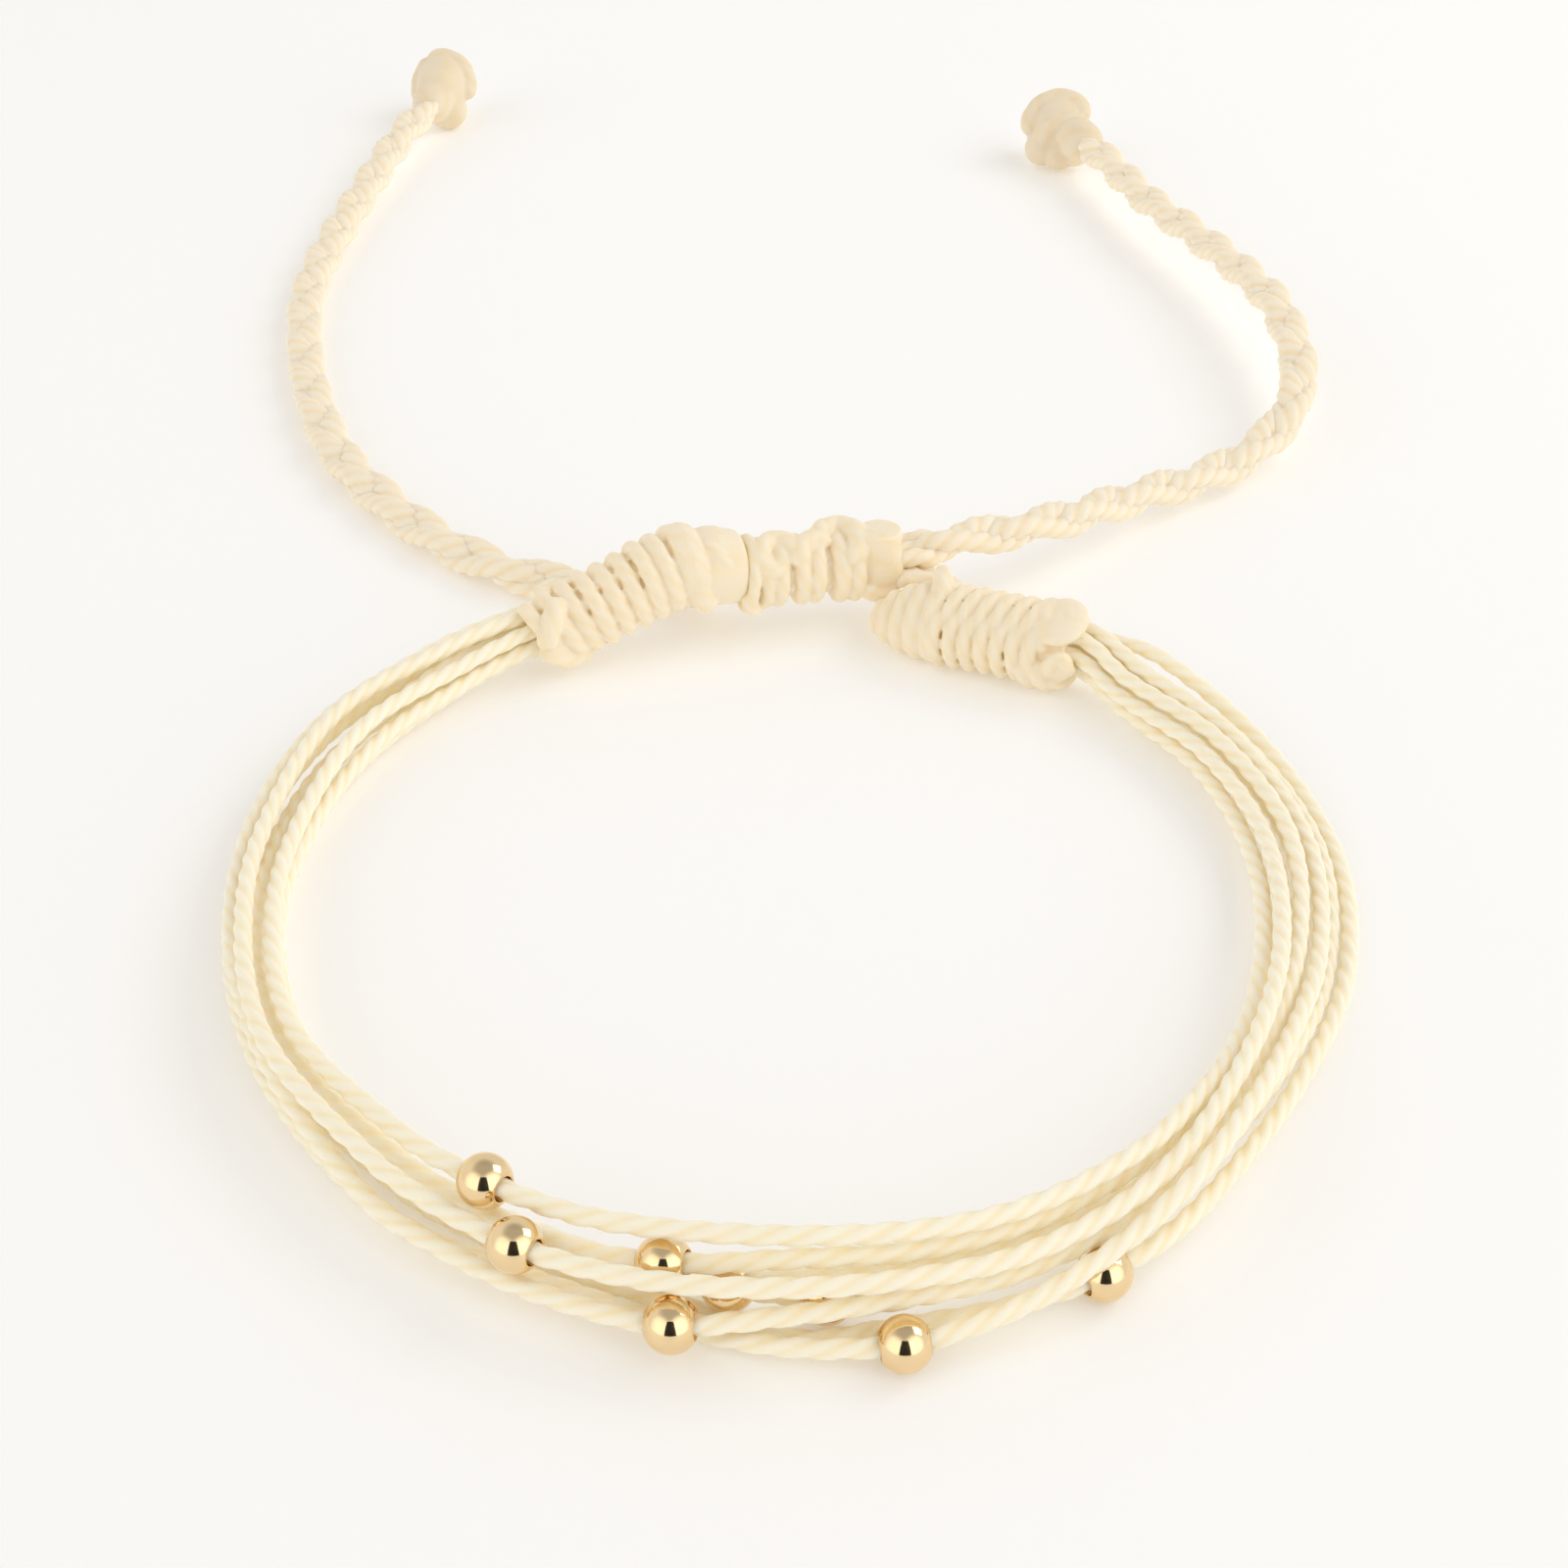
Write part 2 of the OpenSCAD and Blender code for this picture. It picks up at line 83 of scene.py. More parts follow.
# Strand by strand, how far out from the middle of the band it runs, and its height, at each
# section between the wraps
OUT = np.array([
    [-1.5, -1.8, -2.0, -1.8, -0.9, -0.6, -0.2, 0.1, 0.2, 0.3,
     0.3, 0.1, -0.5, -1.2, -3.3, -3.9, -3.2, -2.0, -1.3],
    [0.0, -0.9, -1.0, -0.6, -0.4, -0.4, -0.2, 0.1, 0.4, 0.5,
     0.3, 0.0, -0.8, -1.5, -3.2, -2.8, -1.6, -0.6, 0.0],
    [-1.6, -2.4, -2.2, -1.8, -1.5, -1.2, -1.2, -1.3, -0.6, 0.1,
     0.1, -0.2, -0.7, -1.3, -1.9, -1.6, -0.2, 0.8, 1.3],
    [-0.1, 0.3, -0.1, -0.1, 0.8, 1.4, 1.8, 2.3, 2.4, 2.1,
     1.9, 1.6, 1.1, 0.2, -2.2, -2.9, -2.4, -1.9, -1.8],
    [1.3, 1.4, 1.1, 0.8, 0.9, 2.0, 2.4, 2.8, 2.9, 2.0,
     1.4, 1.2, 0.9, 0.4, -1.9, -1.8, -0.8, -0.8, -1.2],
    [-0.6, -1.6, -1.3, -1.5, -1.5, -2.0, -2.3, -2.4, -2.4, -0.8,
     -0.5, -0.5, -1.0, -0.4, -0.7, 0.1, 1.4, 1.5, 0.9],
    [1.7, 1.5, 1.3, 1.0, 1.0, 1.3, 0.9, 0.6, 1.2, 2.5,
     3.1, 2.8, 2.3, 1.6, -0.7, -0.5, 0.5, 0.5, 0.0],
    [0.8, 0.3, 0.0, -0.2, -0.2, -0.6, -0.7, -0.7, -0.2, 1.4,
     1.1, 1.5, 2.0, 1.4, 0.4, 1.3, 2.6, 2.8, 1.9]])
HIGH = np.array([
    [3.4, 3.6, 3.2, 3.7, 4.2, 5.0, 5.4, 5.8, 6.4, 6.8,
     6.6, 6.3, 5.9, 5.5, 3.4, 2.6, 1.9, 1.5, 1.2],
    [2.8, 2.3, 2.3, 2.5, 2.9, 3.3, 3.2, 3.4, 4.3, 5.4,
     5.2, 5.0, 4.5, 4.1, 2.0, 1.7, 1.4, 1.3, 1.9],
    [2.0, 2.2, 1.8, 2.0, 2.2, 2.0, 1.9, 1.8, 2.0, 3.7,
     3.9, 3.7, 3.1, 2.6, 1.3, 0.9, 1.1, 1.3, 1.4],
    [4.3, 4.1, 3.7, 4.1, 4.2, 4.4, 4.3, 4.6, 4.9, 5.0,
     4.9, 4.7, 4.9, 5.2, 4.6, 3.6, 3.0, 2.9, 2.5],
    [3.6, 3.2, 2.9, 2.6, 2.7, 2.1, 2.2, 2.4, 2.5, 3.0,
     3.1, 3.1, 3.5, 3.8, 2.9, 2.7, 3.1, 3.6, 3.6],
    [1.0, 1.0, 0.8, 0.8, 0.8, 0.7, 0.7, 0.7, 0.7, 1.5,
     1.7, 1.1, 1.0, 1.3, 2.0, 0.8, 1.4, 2.4, 2.9],
    [2.2, 1.8, 1.5, 1.3, 1.3, 0.7, 0.7, 0.7, 0.7, 1.3,
     1.7, 2.6, 3.92, 5.1, 3.6, 2.2, 2.3, 3.4, 4.0],
    [1.1, 1.1, 1.0, 0.8, 0.9, 0.7, 0.7, 0.7, 0.7, 0.7,
     0.8, 1.1, 1.65, 1.6, 1.4, 0.7, 0.9, 2.3, 4.2]])

# The strands go into a wrap as a round bundle, one in the middle and seven round it: each strand's
# place, the angle of place 0, and how high the bundle is at the two sections inside the wrap
BUNDLE_R, BUNDLE_STEP = 1.46, 360 / 7
MIDDLE = -1
LEFT_PLACE, LEFT_FIRST, LEFT_BUNDLE_Z = [1, MIDDLE, 2, 0, 6, 3, 5, 4], 97, [3.3, 2.9]
RIGHT_PLACE, RIGHT_FIRST, RIGHT_BUNDLE_Z = [0, 6, 5, 1, 2, MIDDLE, 3, 4], 225, [3.2, 3.2]

# Where each bead sits on its strand, as a section and the share of the way to the next
BEAD_AT = [8.08, 9.86, 10.42, 8.62, 10.03, 11.32, 11.91, 13.76]

# Sliding knot: the middle of its left face, the way it runs, its length, how far each tail lies
# over or under its middle line, and the middles of its middle and right face
SLIDER_AT = np.array([-2.7, 39.2, 4.9])
SLIDER_DIR = np.array([11.0, 2.6, -0.3]) / math.sqrt(11.0**2 + 2.6**2 + 0.3**2)
SLIDER_L = 11.0
OVER = np.array([0, 0, 0.62])
SLIDER_MIDDLE = SLIDER_AT + 0.5 * SLIDER_L * SLIDER_DIR
SLIDER_END = SLIDER_AT + SLIDER_L * SLIDER_DIR

# Middle lines of the tails, from inside a wrap, through the sliding knot, to the end knot
RIGHT_TAIL = np.array([
    [-6.8, 37.9, 4.8], [-4.6, 38.7, 5.2],
    SLIDER_AT + OVER, SLIDER_MIDDLE + OVER, SLIDER_END + OVER, [13.2, 43.8, 5.2],
    [20.0, 47.9, 4.4], [28.0, 55.6, 2.7], [35.0, 61.4, 1.9], [39.5, 65.8, 2.4], [42.3, 70.0, 3.7],
    [43.6, 75.6, 4.8], [43.4, 86.0, 5.4], [41.9, 94.4, 5.0], [38.9, 104.9, 4.5], [35.5, 115.0, 4.1],
    [32.7, 126.4, 3.9], [29.9, 133.9, 4.0]])
LEFT_TAIL = np.array([
    [13.0, 36.4, 3.4], [11.4, 38.3, 3.8], [9.9, 40.4, 3.9],
    SLIDER_END - OVER, SLIDER_MIDDLE - OVER, SLIDER_AT - OVER,
    [-5.4, 42.1, 2.1], [-9.0, 43.5, 1.5], [-16.5, 44.0, 1.42], [-21.0, 46.0, 1.42],
    [-26.0, 50.2, 1.42], [-31.0, 56.4, 1.42], [-36.0, 64.6, 1.42], [-39.4, 73.8, 1.42],
    [-42.2, 85.2, 1.42], [-43.9, 98.0, 1.5], [-43.5, 110.0, 1.65], [-42.0, 123.6, 2.0],
    [-40.0, 136.0, 2.8], [-37.0, 147.5, 3.6]])

# The point of each line at which it enters the sliding knot
RIGHT_TAIL_IN, LEFT_TAIL_IN = 2, 3

# Wraps: the mouth where the strands go in, the far end, and how far the wrap stands above the
# straight line between them, as (distance from the mouth, height)
LEFT_MOUTH, LEFT_FAR = np.array([-17.8, 34.1, 3.1]), np.array([-4.0, 38.9, 5.2])
RIGHT_MOUTH, RIGHT_FAR = np.array([20.6, 31.5, 3.3]), np.array([6.8, 38.0, 2.5])
LEFT_ARCH = [(1.5, 0.0), (4.8, 0.4), (7.7, 1.15), (10.7, 1.7), (12.1, 1.6), (13.6, 0.9),
             (15.6, 0.2)]
RIGHT_ARCH = [(1.0, 0.0), (11.0, 0.0), (13.0, -0.15), (15.6, -0.5)]

# Knots that end the tails: middle, half sizes, turns of cord and lobes, each with its radius
LEFT_KNOT_AT, LEFT_KNOT_SIZE = np.array([-37.0, 149.0, 3.8]), (2.8, 4.5, 3.3)
LEFT_KNOT_TURNS = [
    ([(-1.6, 1.4, 2.4), (0.4, 1.5, 2.6), (2.0, 0.9, 1.9), (2.7, 0.0, 0.5), (2.5, -1.2, -1.0)], 1.1),
    ([(-1.2, 2.0, 2.4), (-2.2, 0.8, 1.0), (-2.4, -0.8, -0.4), (-1.6, -2.4, -1.8)], 1.0)]
LEFT_KNOT_LOBES = [((0.7, -2.4, -1.7), 2.1), ((-0.2, -1.6, 0.8), 2.3)]
RIGHT_KNOT_AT, RIGHT_KNOT_SIZE = np.array([28.7, 136.2, 4.0]), (2.8, 3.6, 3.0)
RIGHT_KNOT_TURNS = [
    ([(-2.8, -0.8, -0.9), (-2.7, 0.0, 0.9), (-1.4, 0.8, 2.1), (0.6, 0.9, 2.5), (2.1, 0.3, 1.9),
      (2.5, -0.6, 0.5)], 1.15),
    ([(2.4, -1.2, 0.9), (0.9, -2.4, 1.1), (-0.7, -2.6, 0.9), (-1.6, -2.2, -0.4),
      (-1.6, -1.8, -1.8)], 1.15)]
RIGHT_KNOT_LOBES = [((1.5, -2.4, -1.6), 1.9), ((-1.7, -1.5, -1.9), 1.8), ((0.0, -2.4, -2.1), 1.7)]


# Lines in space

def unit(v):
    """The vector, or each vector of a list, at length 1."""
    v = np.asarray(v, float)
    return v / np.linalg.norm(v, axis=-1, keepdims=True)


def running(points):
    """Distance along a line at each of its points."""
    return np.concatenate([[0], np.cumsum(np.linalg.norm(np.diff(points, axis=0), axis=1))])


def smooth(points, s, at):
    """Points at the distances `at` of the smooth curve that has `points` at the distances `s`."""
    order = np.arange(len(points))
    before, after = np.maximum(order - 1, 0), np.minimum(order + 1, len(points) - 1)
    slope = (points[after] - points[before]) / (s[after] - s[before])[:, None]
    i = np.clip(np.searchsorted(s, at, side="right") - 1, 0, len(points) - 2)
    h = (s[i + 1] - s[i])[:, None]
    t = (at - s[i])[:, None] / h
    u, w = t * t, t * t * t
    return ((2 * w - 3 * u + 1) * points[i] + (w - 2 * u + t) * h * slope[i]
            + (3 * u - 2 * w) * points[i + 1] + (w - u) * h * slope[i + 1])


def evenly(points, step):
    """The same line with points about `step` apart."""
    s = running(points)
    at = np.linspace(0, s[-1], max(int(round(s[-1] / step)), 2) + 1)
    return np.stack([np.interp(at, s, points[:, k]) for k in range(3)], axis=1)


def through(points, step):
    """A smooth line through a few points, with points about `step` apart."""
    points = np.asarray(points, float)
    s = running(points)
    return evenly(smooth(points, s, np.linspace(0, s[-1], 40 * len(points))), step)


def level_frame(route):
    """Direction, level sideways and the up square to both, at each point of a line."""
    dirs = unit(np.gradient(route, axis=0))
    side = unit(np.cross(dirs, [0, 0, 1]))
    return dirs, side, np.cross(side, dirs)


# Routes of strands and tails

# Distance along the middle of the band at each section
SECTION_S = running(np.column_stack([SECTIONS, np.zeros(len(SECTIONS))]))


def bundle_place(place, first, turn, z):
    """How far out and how high a strand lies in the bundle that goes into a wrap."""
    if place == MIDDLE:
        return [0, z]
    a = math.radians(first + turn * place * BUNDLE_STEP)
    return [BUNDLE_R * math.cos(a), z + BUNDLE_R * math.sin(a)]


def strand_knots(k):
    """Strand k at each section, from its place across the band."""
    left = [bundle_place(LEFT_PLACE[k], LEFT_FIRST, 1, z) for z in LEFT_BUNDLE_Z]
    right = [bundle_place(RIGHT_PLACE[k], RIGHT_FIRST, -1, z) for z in RIGHT_BUNDLE_Z]
    place = np.array(left + list(zip(OUT[k], HIGH[k])) + right)
    middle = np.column_stack([SECTIONS, np.zeros(len(SECTIONS))])
    order = np.arange(len(middle))
    along = unit(middle[np.minimum(order + 1, order[-1])] - middle[np.maximum(order - 1, 0)])
    outward = np.column_stack([along[:, 1], -along[:, 0], np.zeros(len(middle))])
    return middle + place[:, :1] * outward + place[:, 1:] * [0, 0, 1]


def strand_route(k, step):
    """The whole line of strand k, with points about `step` apart."""
    fine = np.linspace(0, SECTION_S[-1], 3000)
    return evenly(smooth(strand_knots(k), SECTION_S, fine), step)


def strand_point(k, at):
    """Where strand k is at a section, or at a share of the way to the next one."""
    s = np.interp([at], np.arange(len(SECTION_S)), SECTION_S)
    return smooth(strand_knots(k), SECTION_S, s)[0]


def braid_route(points, first_in, k, step):
    """Cord k of a flat three-cord braid: its line, the way across the braid at each point, its
    radius and how far it is pressed wide there, most where it crosses the middle. The cords lie
    in a row inside the sliding knot, where the middle line passes its points first_in to
    first_in + 2."""
    s = running(points)
    start, stop = s[first_in] - ROW_PAST, s[first_in + 2] + ROW_PAST
    line = through(points, step)
    d = running(line)
    past = np.minimum(d - start, 0) + np.maximum(d - stop, 0)
    phase = 2 * math.pi * (past / BRAID_LAY + k / BRAID_CORDS)
    flat = np.clip(1 - np.abs(past) / ROW_BLEND, 0, 1)
    lift = np.clip(2 * np.abs(past) / ROW_BLEND, 0, 1)
    row = [0, ROW_STEP, -ROW_STEP][k]
    x = (1 - flat) * BRAID_SWING * np.sin(phase) + flat * row
    z = lift * BRAID_LIFT * np.sin(2 * phase)
    _, side, up = level_frame(line)
    wide = 1 + PRESSED_WIDE * (1 - flat) * np.cos(phase) ** 2
    radius = TAIL_R + (GRIPPED_R - TAIL_R) * flat
    return line + x[:, None] * side + z[:, None] * up, side, radius, wide


class Local:
    """Places on a knot: a along its axis, phi round it from its top to its front, rho out from it.
    arch lists how far the knot stands above the straight axis, as (a, height) pairs."""

    def __init__(self, origin, axis, arch=((0, 0), (1, 0))):
        self.origin, self.axis = np.asarray(origin, float), unit(axis)
        self.arch = np.array(arch, float)
        front = unit(np.cross(self.axis, [0, 0, 1]))
        self.front = front if front[1] < 0 else -front
        up = np.cross(self.axis, self.front)
        self.up = up if up[2] > 0 else -up

    def outward(self, phi):
        """The way out from the axis at an angle."""
        phi = np.radians(np.asarray(phi, float))[..., None]
        return np.cos(phi) * self.up + np.sin(phi) * self.front

    def at(self, a, phi, rho):
        """The place itself, in the frame of the bracelet."""
        a, rho = np.asarray(a, float), np.asarray(rho, float)[..., None]
        inside = np.clip(np.atleast_1d(a), self.arch[0, 0], self.arch[-1, 0])
        lift = smooth(self.arch[:, 1:], self.arch[:, 0], inside).reshape(a.shape)
        return (self.origin + a[..., None] * self.axis + rho * self.outward(phi)
                + lift[..., None] * np.array([0, 0, 1]))


# Cords as swept tubes

ANY_WAY = [0.13, 0.21, 1]  # a direction that no cord starts in
BLUNT = 0.04  # square of the share of its radius that a rounded end keeps at its very tip
SAME_PLACE = 2e-8  # metres between points that are one, at the seam of a tube


def carried_normals(route):
    """A normal at each point that is carried along the line without turning about it."""
    dirs = unit(np.gradient(route, axis=0))
    n = unit(np.cross(dirs[0], ANY_WAY))
    found = [n]
    for d in dirs[1:]:
        n = n - np.dot(n, d) * d
        n = n / np.linalg.norm(n)
        found.append(n)
    return dirs, np.array(found)


def rounded_ends(route, radius):
    """Radius along a cord whose ends are round."""
    d = running(route)
    x = np.clip(np.minimum(d, d[-1] - d) / radius, 0, 1)
    return radius * np.sqrt(np.clip(1 - (1 - x) ** 2, BLUNT, 1))


def add_cord(bm, route, radius, sides, lay=STRAND_LAY, groove=STRAND_GROOVE, start=0.0,
             normals=None, flat=1.0):
    """Sweeps a cord of three plies along a line, pressed flat where it meets the table. radius and
    flat are numbers or one value a point, and flat squeezes the cord along its normal. The layer
    cord_way keeps the place round the plies and along the cord, for the finish."""
    layer = bm.verts.layers.float_vector["cord_way"]
    if normals is None:
        dirs, normals = carried_normals(route)
    else:
        dirs = unit(np.gradient(route, axis=0))
        normals = unit(normals - np.sum(normals * dirs, axis=1, keepdims=True) * dirs)
    cross = np.cross(dirs, normals)
    n = len(route)
    d = running(route)
    radius, flat = np.broadcast_to(radius, n)[:, None], np.broadcast_to(flat, n)[:, None]
    round_way = np.linspace(0, 2 * math.pi, sides + 1)[None, :]
    twisted = round_way + 2 * math.pi * (d[:, None] / lay + start)
    from_ply = (twisted + math.pi / PLIES) % (2 * math.pi / PLIES) - math.pi / PLIES
    ply_r = 1 - groove
    section = groove * np.cos(from_ply) + np.sqrt(ply_r**2 - (groove * np.sin(from_ply)) ** 2)
    x, y = radius * flat * section * np.cos(round_way), radius * section * np.sin(round_way)
    points = MM * (route[:, None, :] + x[..., None] * normals[:, None, :]
                   + y[..., None] * cross[:, None, :])
    points[..., 2] = np.maximum(points[..., 2], 0)
    along = np.repeat(d[:, None], sides + 1, axis=1)
    ways = np.stack([np.cos(twisted), np.sin(twisted), along], axis=-1)
    made = bmesh.ops.create_grid(bm, x_segments=sides, y_segments=n - 1, size=1)["verts"]
    for v, p, way in zip(made, points.reshape(-1, 3).tolist(), ways.reshape(-1, 3).tolist()):
        v.co = p
        v[layer] = way
    bmesh.ops.remove_doubles(bm, verts=made, dist=SAME_PLACE)
    open_edges = {e for v in made if v.is_valid for e in v.link_edges if e.is_boundary}
    bmesh.ops.holes_fill(bm, edges=list(open_edges), sides=0)


def add_lump(bm, middle, axes, sizes):
    """A smooth pressed lump of cord: sizes are its half-lengths along three axes."""
    layer = bm.verts.layers.float_vector["cord_way"]
    turn = Matrix(np.array([unit(a) for a in axes]).T.tolist()).to_4x4()
    size = Matrix.Diagonal((*[s * MM for s in sizes], 1))
    place = Matrix.Translation(Vector(middle) * MM) @ turn @ size
    made = bmesh.ops.create_icosphere(bm, subdivisions=4, radius=1)["verts"]
    for v in made:
        v[layer] = (v.co.x, v.co.y, 3 * v.co.z)
    bmesh.ops.transform(bm, matrix=place, verts=made)


def new_cords():
    """An empty bmesh with the layer that the cord finishes read."""
    bm = bmesh.new()
    bm.verts.layers.float_vector.new("cord_way")
    return bm


def pressed_together(bm, grain=0.13, rounds=4):
    """Presses the overlapping cords of a knot into one waxed body, of faces about grain across,
    and eases the creases between them in a few rounds. Each place keeps the cord_way of the cord
    that lies nearest."""
    layer = bm.verts.layers.float_vector["cord_way"]
    bmesh.ops.recalc_face_normals(bm, faces=bm.faces)
    bmesh.ops.scale(bm, vec=(1 / MM, 1 / MM, 1 / MM), verts=bm.verts)
    near, ways = KDTree(len(bm.verts)), []
    for v in bm.verts:
        near.insert(v.co, len(ways))
        ways.append(v[layer].copy())
    near.balance()
    loose = bpy.data.objects.new("loose", bpy.data.meshes.new("loose"))
    bm.to_mesh(loose.data)
    bpy.context.scene.collection.objects.link(loose)
    press = loose.modifiers.new("press", "REMESH")
    press.mode, press.voxel_size = "VOXEL", grain
    pressed_loose = loose.evaluated_get(bpy.context.evaluated_depsgraph_get())
    pressed = bpy.data.meshes.new_from_object(pressed_loose)
    bpy.data.objects.remove(loose)
    bm.clear()
    bm.from_mesh(pressed)
    bpy.data.meshes.remove(pressed)
    for _ in range(rounds):
        bmesh.ops.smooth_vert(bm, verts=bm.verts, factor=0.5,
                              use_axis_x=True, use_axis_y=True, use_axis_z=True)
    layers = bm.verts.layers.float_vector
    layer = layers.get("cord_way") or layers.new("cord_way")
    for v in bm.verts:
        v[layer] = ways[near.find(v.co)[1]]
        v.co.z = max(v.co.z, 0)
    bmesh.ops.scale(bm, vec=(MM, MM, MM), verts=bm.verts)


def finished(bm, name, material, slot, *nodes):
    """Turns a bmesh into a piece that rides on the bracelet in place of its solids."""
    bmesh.ops.recalc_face_normals(bm, faces=bm.faces)
    for face in bm.faces:
        face.smooth = True
    mesh = bpy.data.meshes.new(name)
    bm.to_mesh(mesh)
    bm.free()
    mesh.materials.append(material)
    piece = bpy.data.objects.new(name, mesh)
    bpy.context.scene.collection.objects.link(piece)
    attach(piece, "root")
    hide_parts(*nodes)


# Finishes

def node_group(name, inputs, outputs):
    """An empty shader group with named sockets; inputs and outputs are (name, type, value)."""
    tree = bpy.data.node_groups.new(name, "ShaderNodeTree")
    for title, kind, value in inputs:
        socket = tree.interface.new_socket(title, in_out="INPUT", socket_type=kind)
        if value is not None:
            socket.default_value = value
    for title, kind in outputs:
        tree.interface.new_socket(title, in_out="OUTPUT", socket_type=kind)
    return tree, tree.nodes.new("NodeGroupInput"), tree.nodes.new("NodeGroupOutput")


def math_node(tree, kind, *values):
    """The result of one sum; values are numbers or sockets."""
    node = tree.nodes.new("ShaderNodeMath")
    node.operation = kind
    for socket, value in zip(node.inputs, values):
        if isinstance(value, (int, float)):
            socket.default_value = value
        else:
            tree.links.new(value, socket)
    return node.outputs[0]


def scaled(tree, vector, scale):
    """The vector times a fixed vector."""
    node = tree.nodes.new("ShaderNodeVectorMath")
    node.operation = "MULTIPLY"
    tree.links.new(vector, node.inputs[0])
    node.inputs[1].default_value = scale
    return node.outputs[0]


def noise(tree, vector, scale, detail=3.0, roughness=0.5):
    """Soft grain from 0 to 1 at a place."""
    node = tree.nodes.new("ShaderNodeTexNoise")
    node.inputs["Scale"].default_value = scale
    node.inputs["Detail"].default_value = detail
    node.inputs["Roughness"].default_value = roughness
    tree.links.new(vector, node.inputs["Vector"])
    return node.outputs["Fac"]


def mixed(tree, factor, one, two, blend="MIX"):
    """Two colours mixed or multiplied; each is a colour or a socket."""
    node = tree.nodes.new("ShaderNodeMix")
    node.data_type = "RGBA"
    node.blend_type = blend
    # A colour mix has its factor and colours in inputs 0, 6 and 7, and its result in output 2
    sockets = node.inputs[0], node.inputs[6], node.inputs[7]
    for socket, value in zip(sockets, (factor, one, two)):
        if hasattr(value, "is_linked"):
            tree.links.new(value, socket)
        else:
            socket.default_value = value
    return node.outputs[2]


def wax_and_fibre_group():
    """Twisted plies under wax. It reads the cord_way of a cord: cosine and sine of the place round
    the plies, then the distance along in millimetres."""
    tree, given, made = node_group(
        "wax_and_fibre",
        [("Cord Way", "NodeSocketVector", None),
         ("Ply Colour", "NodeSocketColor", (0.9, 0.8, 0.6, 1)),
         ("Groove Shade And Warm Tone", "NodeSocketColor", (0.8, 0.55, 0.25, 1)),
         ("Groove Shade Strength", "NodeSocketFloat", 0.6),
         ("Wax Roughness", "NodeSocketFloat", 0.45)],
        [("Colour", "NodeSocketColor"),
         ("Roughness", "NodeSocketFloat"),
         ("Height", "NodeSocketFloat")])
    way = given.outputs["Cord Way"]
    parts = tree.nodes.new("ShaderNodeSeparateXYZ")
    tree.links.new(way, parts.inputs[0])
    cosine = parts.outputs[0]
    # Painted shade: a mask near 1 in the grooves between the plies, where the colour is mixed
    # towards a darker, warmer shade
    cube = math_node(tree, "POWER", math_node(tree, "ABSOLUTE", cosine), 3.0)
    signed = math_node(tree, "MULTIPLY", cube, math_node(tree, "SIGN", cosine))
    three_times = math_node(tree, "SUBTRACT", math_node(tree, "MULTIPLY", signed, 4.0),
                            math_node(tree, "MULTIPLY", cosine, 3.0))
    low = math_node(tree, "MULTIPLY_ADD", three_times, -0.5, 0.5)
    groove_shade = math_node(tree, "POWER", low, 3.0)
    fibre = noise(tree, scaled(tree, way, (5.0, 5.0, 0.5)), 1.6, 4.0, 0.6)
    fluff = noise(tree, scaled(tree, way, (1.0, 1.0, 1.6)), 2.3, 3.0)
    drift = noise(tree, scaled(tree, way, (0.2, 0.2, 0.16)), 1.0, 2.0)
    strength = math_node(tree, "MULTIPLY", groove_shade, given.outputs["Groove Shade Strength"])
    colour = mixed(tree, strength, given.outputs["Ply Colour"], given.outputs["Groove Shade And Warm Tone"])
    # A slow drift along the cord towards the same warm colour, a tone that differs at random
    warm = math_node(tree, "MULTIPLY", drift, 0.16)
    colour = mixed(tree, warm, colour, given.outputs["Groove Shade And Warm Tone"])
    dusk = math_node(tree, "MULTIPLY", fibre, 0.10)
    colour = mixed(tree, dusk, colour, (0.90, 0.78, 0.58, 1), "MULTIPLY")
    rough = math_node(tree, "MULTIPLY_ADD", fluff, 0.22, given.outputs["Wax Roughness"])
    height = math_node(tree, "ADD", math_node(tree, "MULTIPLY", fibre, 0.6),
                       math_node(tree, "MULTIPLY", fluff, 0.25))
    for value, title in ((colour, "Colour"), (rough, "Roughness"), (height, "Height")):
        tree.links.new(value, made.inputs[title])
    return tree


def new_material(name, colour):
    """A plain material, its node tree and its shader."""
    material = bpy.data.materials.new(name)
    material.use_nodes = True
    material.diffuse_color = colour
    tree = material.node_tree
    return material, tree, tree.nodes["Principled BSDF"]


